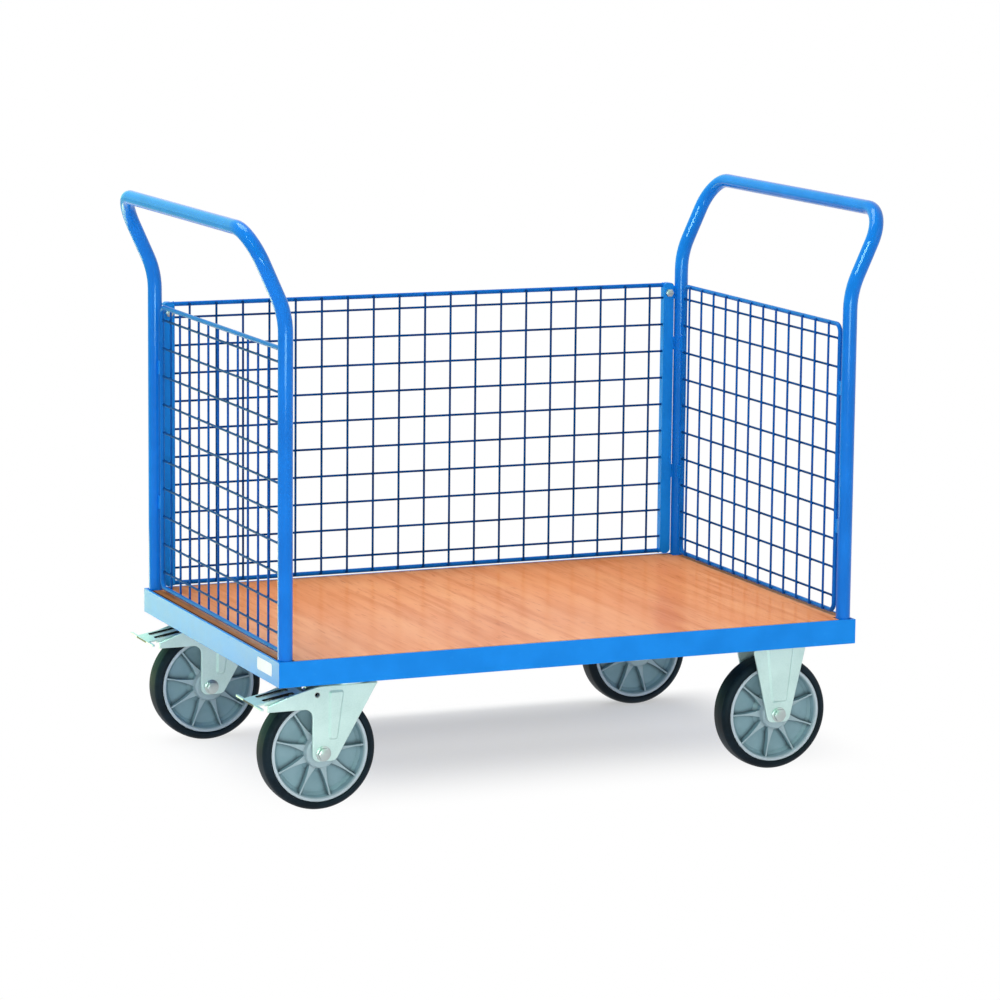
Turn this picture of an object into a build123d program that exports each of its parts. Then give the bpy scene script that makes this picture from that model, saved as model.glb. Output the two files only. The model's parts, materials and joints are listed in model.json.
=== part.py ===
from build123d import *
import os

# All sizes are in millimetres. The origin is on the floor under the middle of the
# platform. X runs towards the fixed castors, Y towards the back wall and Z up.

# Platform frame and deck
frame_length = 1062
frame_width = 698
deck_top = 266
rail_height = 43
rail_wall = 4
rail_edge_radius = 1
ledge_top = 248
ledge_thickness = 4
ledge_reach = 36
board_gap = 2
board_notch_gap = 1

# Castor bearers and the cross member under the board
bearer_web_bottom = 233
bearer_web_thickness = 4
bearer_width = 154
bearer_flange = 4
bearer_end_gap = 1
cross_member_width = 50
cross_member_depth = 20

# Handle bows
tube_radius = 12.5
tube_wall = 2
bow_reach = 63
knee_height = 834
bar_height = 972
knee_radius = 140
bar_corner_radius = 60

# Wire walls
rod_radius = 4
wire_radius = 2
wire_pitch = 50
rod_corner_radius = 14
lower_rod_height = 274
upper_rod_height = 775
first_row_height = 301.5
row_count = 10
upright_overlap = 1.5
end_rod_x = 510.5
end_rod_y = 306
end_upright_count = 12
back_rod_y = 338
back_upright_count = 19
channel_x = 488.75
channel_front_y = 330
channel_width = 20.5
channel_depth = 14
channel_sheet = 2
channel_lap = 4.5
channel_corner_radius = 8
notch_play = 1
tab_heights = (425, 666)
tab_height = 24
tab_thickness = 4
ear_thickness = 3
ear_end_gap = 1
wall_bolt_height = 761

# Castors
wheel_radius = 100
castor_y = 280
swivel_x = -391
swivel_trail = 50
fixed_x = 402
flank_gap = 33
flank_thickness = 4
plate_length = 135
plate_width = 110
plate_thickness = 6
plate_hole_length = 105
plate_hole_width = 80
plate_corner_radius = 10
leg_bottom = 86.5
leg_end_radius = 12
fork_edge_radius = 1.5
flute_bottom = 122
flute_height = 3
flute_taper = 50
flute_corner_radius = 6

# Swivel fork outline, measured from the kingpin axis and from the floor
crown_top = 214
crown_thickness = 4
crown_front = -49
crown_rear = 46
nose_tip_x = -147
nose_tip_top = 186
nose_tip_bottom = 176
nose_middle = (-102, 202.5)
nose_root_x = -54
leg_left_x = -69
leg_right_x = -28
leg_root_radius = 14
flute_left_x = -41
flute_right_top_x = -13
flute_right_bottom_x = -25
flute_top = 206

# Fixed fork outline, measured from the axle
fixed_leg_half_bottom = 20
fixed_leg_half_top = 50
fixed_neck_half = 40
fixed_shoulder_height = 216.5
fixed_shoulder_radius = 3
panel_half_bottom = 15
panel_half_top = 26
panel_top = 220

# Swivel bearing
kingpin_radius = 8
kingpin_hole_radius = 20
lower_head_radius = 13
lower_head_height = 6
lower_head_chamfer = 2
lower_head_play = 0.4
upper_head_radius = 15
upper_head_height = 5.5
upper_head_chamfer = 2.5
swivel_fit = 0.08
race_inner_radius = 24
race_outer_radius = 38
race_rise = 2
ball_radius = 4
ball_circle_radius = 31
ball_count = 12
ball_clearance = 0.3
skirt_outer_radius = 44
skirt_wall = 4
skirt_bottom = 216.5

# Wheels
tyre_half_width = 23
tyre_seat_radius = 81
tread_half_width = 14
tread_crown = 0.8
bead_slope = 3
lip_radius = 85
lip_inset = 1.5
lip_width = 4.5
lip_edge = 1
lip_bottom_radius = 79
hub_half_length = 30
hub_bore_radius = 15
hub_end_radius = 24
hub_edge = 2.5
hub_root_radius = 29
hub_root_half = 10
web_half_thickness = 5
web_inner_radius = 36
web_outer_radius = 71
flange_root_half = 9
flange_root_radius = 76
rib_count = 9
rib_top = 18
rib_sink = 1
rib_inner_radius = 24
rib_waist_radius = 42
rib_outer_radius = 80
rib_root_half = 7
rib_waist_half = 3
rib_tip_half = 1.7
bearing_edge = 1
axle_tube_radius = 10
axle_fit = 0.05
axle_side_gap = 0.6
axle_flange_radius = 13
axle_flange_height = 2

# Brake pedals, measured from the kingpin axis and from the floor
pedal_pivot_x = -61
pedal_pivot_z = 199.7
pedal_pin_radius = 5
pedal_pin_bore = 4
pedal_fit = 0.06
pedal_half_width = 30
cheek_thickness = 3
cheek_eye_radius = 8
cheek_tip = (-150, 191.8)
cheek_tip_bottom = 186
cheek_bend = (-92, 192)
tread_root = (-82, 204)
tread_tip = (-166.5, 188.8)
tread_thickness = 3
toe_half_width = 62
toe_depth = 5
toe_lap = 3
toe_thickness = 3
toe_corner_radius = 1.5
slot_middle_x = -122
slot_spacing = 31
slot_length = 54
slot_width = 17
slot_corner_radius = 4
pad_front_x = -130
pad_rear_x = -100
pad_front_top = 193.5
pad_rear_top = 199
pad_bottom = 185
pad_half_width = 7
pad_gap = 0.8
pedal_pin_play = 0.5
pedal_travel = 10

# Fasteners: half of the width across flats, head or nut height, shank radius
m8_half_flats, m8_head, m8_nut, m8_radius = 6.5, 5.3, 6.5, 4
m10_half_flats, m10_head, m10_nut, m10_radius = 8, 6.4, 8, 5
m12_half_flats, m12_head, m12_nut, m12_radius = 9.5, 7.5, 10, 6
hole_play = 0.3
bolt_end = 1.5

# Worked out from the sizes above
ledge_bottom = ledge_top - ledge_thickness
ledge_inner_y = frame_width / 2 - ledge_reach
post_x = frame_length / 2 - rail_wall - tube_radius
post_y = frame_width / 2 - rail_wall - tube_radius
bar_x = post_x + bow_reach
bearer_web_top = bearer_web_bottom + bearer_web_thickness
plate_bottom = bearer_web_bottom - plate_thickness
flank_outer = flank_gap + flank_thickness
wall_middle_height = first_row_height + (row_count - 1) * wire_pitch / 2
channel_bottom = lower_rod_height - channel_lap
channel_top = upper_rod_height + channel_lap
ear_front_y = channel_front_y + channel_sheet
axle_bolt_end = flank_outer + m12_nut + bolt_end
lip_half_width = tyre_half_width - lip_inset
lip_inner = lip_half_width - lip_width

os.makedirs("parts", exist_ok=True)


def save(piece, label):
    piece.part.label = label
    export_step(piece.part, f"parts/{label}.step")


def side_plane(x, y, z=0):
    # Local x is the trolley's X, local y is up, and the normal points to the front.
    return Plane(origin=(x, y, z), x_dir=(1, 0, 0), z_dir=(0, -1, 0))


# Rails: a T-section with a ledge for the board, mitred at the corners
def make_rail(label, middle, along, inward, length):
    rail_bottom = deck_top - rail_height
    with BuildPart() as rail:
        with BuildSketch(Plane(origin=middle, x_dir=inward, z_dir=along)) as section:
            with BuildLine():
                Polyline(
                    (0, rail_bottom),
                    (rail_wall, rail_bottom),
                    (rail_wall, ledge_bottom),
                    (ledge_reach, ledge_bottom),
                    (ledge_reach, ledge_top),
                    (rail_wall, ledge_top),
                    (rail_wall, deck_top),
                    (0, deck_top),
                    close=True,
                )
            make_face()
            levels = section.vertices().group_by(Axis.Y)
            fillet(levels[0] + levels[-1], rail_edge_radius)
        extrude(amount=length / 2, both=True)
        for end in (-1, 1):
            corner = Vector(middle) + Vector(along) * (end * length / 2)
            outward = Vector(along) * end + Vector(inward)
            split(bisect_by=Plane(origin=corner, z_dir=outward), keep=Keep.BOTTOM)
    save(rail, label)


half_length = frame_length / 2
half_width = frame_width / 2
make_rail("front_rail", (0, -half_width, 0), (1, 0, 0), (0, 1, 0), frame_length)
make_rail("back_rail", (0, half_width, 0), (-1, 0, 0), (0, -1, 0), frame_length)
make_rail("right_rail", (half_length, 0, 0), (0, 1, 0), (-1, 0, 0), frame_width)
make_rail("left_rail", (-half_length, 0, 0), (0, -1, 0), (1, 0, 0), frame_width)

# Deck board, notched round the four posts
with BuildPart() as deck_board:
    notch = 2 * (tube_radius + board_notch_gap)
    board_inset = 2 * (rail_wall + board_gap)
    with BuildSketch(Plane.XY.offset(ledge_top)):
        Rectangle(frame_length - board_inset, frame_width - board_inset)
        with GridLocations(2 * post_x, 2 * post_y, 2, 2):
            Rectangle(notch, notch, mode=Mode.SUBTRACT)
    extrude(amount=deck_top - ledge_top)
save(deck_board, "deck_board")


# Castor bearer: an open channel under the ledges that also carries the board
def make_bearer(label, middle_x, kingpin_holes):
    half_span = frame_width / 2 - rail_wall - bearer_end_gap
    with BuildPart() as bearer:
        with BuildSketch(side_plane(middle_x, 0)):
            with BuildLine():
                Polyline(
                    (-bearer_width / 2, bearer_web_bottom),
                    (bearer_width / 2, bearer_web_bottom),
                    (bearer_width / 2, ledge_top),
                    (bearer_width / 2 - bearer_flange, ledge_top),
                    (bearer_width / 2 - bearer_flange, bearer_web_top),
                    (-bearer_width / 2 + bearer_flange, bearer_web_top),
                    (-bearer_width / 2 + bearer_flange, ledge_top),
                    (-bearer_width / 2, ledge_top),
                    close=True,
                )
            make_face()
        extrude(amount=half_span, both=True)
        # The flanges step down where they pass under the ledges.
        with BuildSketch(Plane(origin=(middle_x, 0, ledge_bottom))):
            Rectangle(bearer_width, 2 * half_span)
            Rectangle(bearer_width, 2 * (ledge_inner_y - bearer_end_gap), mode=Mode.SUBTRACT)
        extrude(amount=ledge_thickness, mode=Mode.SUBTRACT)
        with BuildSketch(Plane(origin=(middle_x, 0, bearer_web_bottom))):
            with GridLocations(0, 2 * castor_y, 1, 2):
                with GridLocations(plate_hole_length, plate_hole_width, 2, 2):
                    Circle(m10_radius + hole_play)
            if kingpin_holes:
                with GridLocations(0, 2 * castor_y, 1, 2):
                    Circle(kingpin_hole_radius)
        extrude(amount=bearer_web_thickness, mode=Mode.SUBTRACT)
    save(bearer, label)


make_bearer("left_castor_bearer", swivel_x, True)
make_bearer("right_castor_bearer", fixed_x, False)

# Cross member under the middle of the board, a channel open downwards
with BuildPart() as centre_cross_member:
    with BuildSketch(side_plane(0, 0)):
        with BuildLine():
            Polyline(
                (-cross_member_width / 2, ledge_top),
                (cross_member_width / 2, ledge_top),
                (cross_member_width / 2, ledge_top - cross_member_depth),
                (cross_member_width / 2 - rail_wall, ledge_top - cross_member_depth),
                (cross_member_width / 2 - rail_wall, ledge_bottom),
                (-cross_member_width / 2 + rail_wall, ledge_bottom),
                (-cross_member_width / 2 + rail_wall, ledge_top - cross_member_depth),
                (-cross_member_width / 2, ledge_top - cross_member_depth),
                close=True,
            )
        make_face()
    extrude(amount=ledge_inner_y, both=True)
save(centre_cross_member, "centre_cross_member")


# Handle bow: one tube with two posts, two leaning legs and a bar
def make_bow(label, side):
    foot = (side * post_x, -post_y, ledge_top)
    with BuildPart() as bow:
        with BuildLine():
            FilletPolyline(
                foot,
                (side * post_x, -post_y, knee_height),
                (side * bar_x, -post_y, bar_height),
                (side * bar_x, post_y, bar_height),
                (side * post_x, post_y, knee_height),
                (side * post_x, post_y, ledge_top),
                radius=(knee_radius, bar_corner_radius, bar_corner_radius, knee_radius),
            )
        with BuildSketch(Plane(origin=foot)):
            Circle(tube_radius)
            Circle(tube_radius - tube_wall, mode=Mode.SUBTRACT)
        sweep()
    save(bow, label)
    return bow


left_handle_bow = make_bow("left_handle_bow", -1)
right_handle_bow = make_bow("right_handle_bow", 1)


# Wall frame: one round rod bent to a closed loop in the given plane
def make_rod_loop(label, plane, half_span):
    with BuildPart() as rods:
        with BuildLine(plane) as loop:
            FilletPolyline(
                (-half_span, lower_rod_height),
                (half_span, lower_rod_height),
                (half_span, upper_rod_height),
                (-half_span, upper_rod_height),
                radius=rod_corner_radius,
                close=True,
            )
        path = loop.wires()[0]
        with BuildSketch(Plane(origin=path @ 0, z_dir=path % 0)):
            Circle(rod_radius)
        sweep(path=path)
    save(rods, label)
    return rods


# Upright wires lie on the inner side of the upper and lower rod.
def make_uprights(label, x, y, x_count, y_count):
    with BuildPart() as uprights:
        with BuildSketch(Plane(origin=(x, y, lower_rod_height - upright_overlap))):
            with GridLocations(wire_pitch, wire_pitch, x_count, y_count):
                Circle(wire_radius)
        extrude(amount=upper_rod_height - lower_rod_height + 2 * upright_overlap)
    save(uprights, label)


# Cross wires lie behind the uprights and end on the standing rods.
def make_cross_wires(label, plane, half_span, rods):
    with BuildPart() as wires:
        with BuildSketch(plane):
            with GridLocations(wire_pitch, wire_pitch, 1, row_count):
                Circle(wire_radius)
        extrude(amount=half_span, both=True)
        add(rods.part, mode=Mode.SUBTRACT)
    save(wires, label)


def make_end_wall(name, side):
    rod_x = side * end_rod_x
    upright_x = side * (end_rod_x - rod_radius - wire_radius)
    cross_x = side * (end_rod_x - rod_radius + wire_radius)
    loop_plane = Plane(origin=(rod_x, 0, 0), x_dir=(0, 1, 0), z_dir=(1, 0, 0))
    rods = make_rod_loop(f"{name}_wall_frame", loop_plane, end_rod_y)
    make_uprights(f"{name}_wall_uprights", upright_x, 0, 1, end_upright_count)
    row_plane = side_plane(cross_x, 0, wall_middle_height)
    make_cross_wires(f"{name}_wall_cross_wires", row_plane, end_rod_y, rods)
    return rods


left_rods = make_end_wall("left", -1)
right_rods = make_end_wall("right", 1)

# Back wall: an upper and a lower rod between two pressed channels with rounded ends
with BuildPart() as channel_blank:
    channel_middle = (channel_bottom + channel_top) / 2
    with BuildSketch(side_plane(0, channel_front_y)):
        with Locations((-channel_x, channel_middle), (channel_x, channel_middle)):
            RectangleRounded(channel_width, channel_top - channel_bottom, channel_corner_radius)
    extrude(amount=-channel_depth)

with BuildPart() as back_wall_channels:
    add(channel_blank.part)
    # The channels are open at the back.
    with BuildSketch(side_plane(0, ear_front_y)):
        with Locations((-channel_x, channel_middle), (channel_x, channel_middle)):
            RectangleRounded(
                channel_width - 2 * channel_sheet,
                channel_top - channel_bottom - 2 * channel_sheet,
                channel_corner_radius - channel_sheet,
            )
    extrude(amount=-channel_depth, mode=Mode.SUBTRACT)
    # Notches in the outer sides let the ears of the posts in.
    with BuildSketch(side_plane(0, ear_front_y)):
        for side in (-1, 1):
            for height in (*tab_heights, wall_bolt_height):
                with Locations((side * (channel_x + channel_width / 2), height)):
                    Rectangle(channel_width / 2, tab_height + 2 * notch_play)
    extrude(amount=-channel_depth, mode=Mode.SUBTRACT)
    with BuildSketch(side_plane(0, channel_front_y)):
        with Locations((-channel_x, wall_bolt_height), (channel_x, wall_bolt_height)):
            Circle(m8_radius + hole_play)
    extrude(amount=-channel_sheet, mode=Mode.SUBTRACT)
save(back_wall_channels, "back_wall_channels")

with BuildPart() as back_wall_frame:
    with BuildSketch(Plane(origin=(0, back_rod_y, 0), x_dir=(0, 1, 0), z_dir=(1, 0, 0))):
        with Locations((0, lower_rod_height), (0, upper_rod_height)):
            Circle(rod_radius)
    extrude(amount=channel_x, both=True)
    add(channel_blank.part, mode=Mode.SUBTRACT)
save(back_wall_frame, "back_wall_frame")

make_uprights("back_wall_uprights", 0, back_rod_y - rod_radius - wire_radius, back_upright_count, 1)
back_rows = Plane(
    origin=(0, back_rod_y - rod_radius + wire_radius, wall_middle_height), x_dir=(0, 1, 0), z_dir=(1, 0, 0)
)
make_cross_wires("back_wall_cross_wires", back_rows, channel_x, channel_blank)

# Tabs welded to the posts: they hold the end walls, and their ears stand in the channels
with BuildPart() as wall_tabs:
    end_tab_end = post_y - tube_radius + tube_wall / 2
    ear_start = channel_x - channel_width / 2 + channel_sheet + ear_end_gap
    ear_end = post_x - tube_radius + tube_wall / 2
    for side in (-1, 1):
        end_tab_plane = Plane(origin=(side * end_rod_x, 0, 0), x_dir=(0, 1, 0), z_dir=(1, 0, 0))
        with BuildSketch(end_tab_plane):
            for height in tab_heights:
                for end in (-1, 1):
                    with Locations((end * (end_rod_y + end_tab_end) / 2, height)):
                        Rectangle(end_tab_end - end_rod_y, tab_height)
        extrude(amount=tab_thickness / 2, both=True)
        with BuildSketch(side_plane(0, ear_front_y)):
            for height in (*tab_heights, wall_bolt_height):
                with Locations((side * (ear_start + ear_end) / 2, height)):
                    Rectangle(ear_end - ear_start, tab_height)
            with Locations((side * channel_x, wall_bolt_height)):
                Circle(m8_radius + hole_play, mode=Mode.SUBTRACT)
        extrude(amount=-ear_thickness)
    for neighbour in (left_handle_bow, right_handle_bow, left_rods, right_rods):
        add(neighbour.part, mode=Mode.SUBTRACT)
save(wall_tabs, "wall_tabs")

# Bolts and nuts that hold the channels to the upper ears
wall_bolt_places = [(-channel_x, wall_bolt_height), (channel_x, wall_bolt_height)]
with BuildPart() as back_wall_bolts:
    with BuildSketch(side_plane(0, channel_front_y)):
        with Locations(*wall_bolt_places):
            RegularPolygon(m8_half_flats, 6, major_radius=False)
    extrude(amount=m8_head)
    with BuildSketch(side_plane(0, channel_front_y)):
        with Locations(*wall_bolt_places):
            Circle(m8_radius)
    extrude(amount=-(channel_sheet + ear_thickness + m8_nut + bolt_end))
save(back_wall_bolts, "back_wall_bolts")

with BuildPart() as back_wall_nuts:
    with BuildSketch(side_plane(0, ear_front_y + ear_thickness)):
        with Locations(*wall_bolt_places):
            RegularPolygon(m8_half_flats, 6, major_radius=False)
            Circle(m8_radius, mode=Mode.SUBTRACT)
    extrude(amount=-m8_nut)
save(back_wall_nuts, "back_wall_nuts")


# Swivel plate: flat plate with an upper race and a skirt round the balls
def make_castor_plate(label, y):
    upper_race_bottom = crown_top + race_rise + 2 * ball_radius + ball_clearance
    with BuildPart() as plate:
        with BuildSketch(Plane(origin=(swivel_x, y, plate_bottom))):
            RectangleRounded(plate_length, plate_width, plate_corner_radius)
            with GridLocations(plate_hole_length, plate_hole_width, 2, 2):
                Circle(m10_radius + hole_play, mode=Mode.SUBTRACT)
            Circle(kingpin_radius, mode=Mode.SUBTRACT)
        extrude(amount=plate_thickness)
        with BuildSketch(side_plane(swivel_x, y)):
            with BuildLine():
                Polyline(
                    (race_inner_radius, plate_bottom),
                    (skirt_outer_radius, plate_bottom),
                    (skirt_outer_radius, skirt_bottom),
                    (skirt_outer_radius - skirt_wall, skirt_bottom),
                    (skirt_outer_radius - skirt_wall, upper_race_bottom),
                    (race_inner_radius, upper_race_bottom),
                    close=True,
                )
            make_face()
        revolve(axis=Axis((swivel_x, y, 0), (0, 0, 1)))
    save(plate, label)


make_castor_plate("front_left_castor_plate", -castor_y)
make_castor_plate("back_left_castor_plate", castor_y)

# Kingpins, riveted over above the plates and below the crowns
with BuildPart() as kingpins:
    lower_head_top = crown_top - crown_thickness - lower_head_play
    lower_head_bottom = lower_head_top - lower_head_height
    upper_head_top = bearer_web_bottom + upper_head_height
    for y in (-castor_y, castor_y):
        with BuildSketch(side_plane(swivel_x, y)):
            with BuildLine():
                Polyline(
                    (0, lower_head_bottom),
                    (lower_head_radius - lower_head_chamfer, lower_head_bottom),
                    (lower_head_radius, lower_head_bottom + lower_head_chamfer),
                    (lower_head_radius, lower_head_top),
                    (kingpin_radius, lower_head_top),
                    (kingpin_radius, bearer_web_bottom),
                    (upper_head_radius, bearer_web_bottom),
                    (upper_head_radius, upper_head_top - upper_head_chamfer),
                    (upper_head_radius - upper_head_chamfer, upper_head_top),
                    (0, upper_head_top),
                    close=True,
                )
            make_face()
        revolve(axis=Axis((swivel_x, y, 0), (0, 0, 1)))
save(kingpins, "kingpins")


def make_balls(label, y):
    with BuildPart() as balls:
        with Locations((swivel_x, y, crown_top + race_rise + ball_radius)):
            with PolarLocations(ball_circle_radius, ball_count):
                Sphere(ball_radius)
    save(balls, label)


make_balls("front_left_balls", -castor_y)
make_balls("back_left_balls", castor_y)


# Swivel fork: two pressed flanks with a long nose for the brake, joined by a crown
def make_swivel_fork(label, y):
    flank = side_plane(swivel_x, y)
    with BuildPart() as fork:
        with BuildSketch(flank.offset(flank_gap), flank.offset(-flank_outer)) as outline:
            with BuildLine():
                nose_top = ThreePointArc((nose_tip_x, nose_tip_top), nose_middle, (nose_root_x, crown_top))
                crown_line = Line(nose_top @ 1, (crown_rear, crown_top))
                Polyline(
                    crown_line @ 1,
                    (leg_right_x, leg_bottom),
                    (leg_left_x, leg_bottom),
                    (leg_left_x, nose_tip_bottom),
                    (nose_tip_x, nose_tip_bottom),
                    nose_top @ 0,
                )
            make_face()
            fillet(outline.vertices().group_by(Axis.Y)[0], leg_end_radius)
            leg_root = outline.vertices().sort_by_distance((leg_left_x, nose_tip_bottom))[0]
            fillet(leg_root, leg_root_radius)
            with Locations((-swivel_trail, wheel_radius)):
                Circle(m12_radius + hole_play, mode=Mode.SUBTRACT)
            with Locations((pedal_pivot_x, pedal_pivot_z)):
                Circle(pedal_pin_radius, mode=Mode.SUBTRACT)
        extrude(amount=flank_thickness)
        with BuildSketch(Plane(origin=(swivel_x, y, crown_top - crown_thickness))):
            with Locations(((crown_front + crown_rear) / 2, 0)):
                Rectangle(crown_rear - crown_front, 2 * flank_gap)
        extrude(amount=crown_thickness)
        # The outer edges are rounded by the press, round the flanks and along the crown.
        flank_faces = fork.faces().filter_by(Axis.Y).sort_by(Axis.Y)
        pressed_edges = flank_faces[0].outer_wire().edges() + flank_faces[-1].outer_wire().edges()
        fillet(pressed_edges, fork_edge_radius)
        with BuildSketch(Plane(origin=(swivel_x, y, crown_top))):
            Circle(race_outer_radius)
        extrude(amount=race_rise)
        with BuildSketch(Plane(origin=(swivel_x, y, crown_top))):
            Circle(race_inner_radius)
        extrude(amount=race_rise, mode=Mode.SUBTRACT)
        with BuildSketch(Plane(origin=(swivel_x, y, crown_top - crown_thickness))):
            Circle(kingpin_radius + swivel_fit)
        extrude(amount=crown_thickness, mode=Mode.SUBTRACT)
        # A pressed flute stiffens each flank.
        with BuildSketch(flank.offset(flank_outer)):
            with BuildLine():
                FilletPolyline(
                    (flute_left_x, flute_top),
                    (flute_right_top_x, flute_top),
                    (flute_right_bottom_x, flute_bottom),
                    (flute_left_x, flute_bottom),
                    radius=flute_corner_radius,
                    close=True,
                )
            make_face()
        flute = extrude(amount=flute_height, taper=flute_taper)
        mirror(flute, about=flank)
    save(fork, label)


make_swivel_fork("front_left_fork", -castor_y)
make_swivel_fork("back_left_fork", castor_y)


# Fixed fork: two tapered legs pressed in one piece with their plate
def make_fixed_fork(label, y):
    flank = side_plane(fixed_x, y)
    with BuildPart() as fork:
        with BuildSketch(flank.offset(flank_gap), flank.offset(-flank_outer)) as outline:
            with BuildLine():
                Polyline(
                    (-fixed_leg_half_bottom, leg_bottom),
                    (fixed_leg_half_bottom, leg_bottom),
                    (fixed_leg_half_top, fixed_shoulder_height),
                    (fixed_neck_half, fixed_shoulder_height),
                    (fixed_neck_half, plate_bottom),
                    (-fixed_neck_half, plate_bottom),
                    (-fixed_neck_half, fixed_shoulder_height),
                    (-fixed_leg_half_top, fixed_shoulder_height),
                    close=True,
                )
            make_face()
            fillet(outline.vertices().group_by(Axis.Y)[0], leg_end_radius)
            fillet(outline.vertices().group_by(Axis.Y)[-2], fixed_shoulder_radius)
            with Locations((0, wheel_radius)):
                Circle(m12_radius + hole_play, mode=Mode.SUBTRACT)
        extrude(amount=flank_thickness)
        # The outer edges are rounded by the press, except where the legs meet the plate.
        flank_faces = fork.faces().filter_by(Axis.Y).sort_by(Axis.Y)
        pressed_edges = flank_faces[0].outer_wire().edges() + flank_faces[-1].outer_wire().edges()
        fillet(pressed_edges.sort_by(Axis.Z)[:-2], fork_edge_radius)
        with BuildSketch(Plane(origin=(fixed_x, y, plate_bottom))):
            RectangleRounded(plate_length, plate_width, plate_corner_radius)
            with GridLocations(plate_hole_length, plate_hole_width, 2, 2):
                Circle(m10_radius + hole_play, mode=Mode.SUBTRACT)
        extrude(amount=plate_thickness)
        # A raised panel runs down the middle of both legs.
        with BuildSketch(flank.offset(flank_outer)):
            with BuildLine():
                FilletPolyline(
                    (-panel_half_top, panel_top),
                    (panel_half_top, panel_top),
                    (panel_half_bottom, flute_bottom),
                    (-panel_half_bottom, flute_bottom),
                    radius=flute_corner_radius,
                    close=True,
                )
            make_face()
        panel = extrude(amount=flute_height, taper=flute_taper)
        mirror(panel, about=flank)
    save(fork, label)


make_fixed_fork("front_right_fork", -castor_y)
make_fixed_fork("back_right_fork", castor_y)


# Axles: a tube clamped between the flanks by a flanged bolt with its nut at the back
def make_axles(places, tube_label, bolt_label, nut_label):
    with BuildPart() as tubes:
        for x, y in places:
            with BuildSketch(side_plane(x, y)):
                with Locations((0, wheel_radius)):
                    Circle(axle_tube_radius)
                    Circle(m12_radius + hole_play, mode=Mode.SUBTRACT)
            extrude(amount=flank_gap, both=True)
    save(tubes, tube_label)
    with BuildPart() as bolts:
        for x, y in places:
            head_face = side_plane(x, y).offset(flank_outer)
            with BuildSketch(head_face):
                with Locations((0, wheel_radius)):
                    RegularPolygon(m12_half_flats, 6, major_radius=False)
            extrude(amount=m12_head)
            with BuildSketch(head_face):
                with Locations((0, wheel_radius)):
                    Circle(axle_flange_radius)
            extrude(amount=axle_flange_height)
            with BuildSketch(head_face):
                with Locations((0, wheel_radius)):
                    Circle(m12_radius)
            extrude(amount=-(flank_outer + axle_bolt_end))
    save(bolts, bolt_label)
    with BuildPart() as nuts:
        for x, y in places:
            with BuildSketch(side_plane(x, y).offset(-flank_outer)):
                with Locations((0, wheel_radius)):
                    RegularPolygon(m12_half_flats, 6, major_radius=False)
                    Circle(m12_radius, mode=Mode.SUBTRACT)
            extrude(amount=-m12_nut)
    save(nuts, nut_label)


swivel_wheel_x = swivel_x - swivel_trail
fixed_places = [(fixed_x, -castor_y), (fixed_x, castor_y)]
make_axles(fixed_places, "fixed_axle_tubes", "fixed_axle_bolts", "fixed_axle_nuts")
for corner, y in (("front_left", -castor_y), ("back_left", castor_y)):
    labels = [f"{corner}_axle_{piece}" for piece in ("tube", "bolt", "nut")]
    make_axles([(swivel_wheel_x, y)], *labels)


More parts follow.
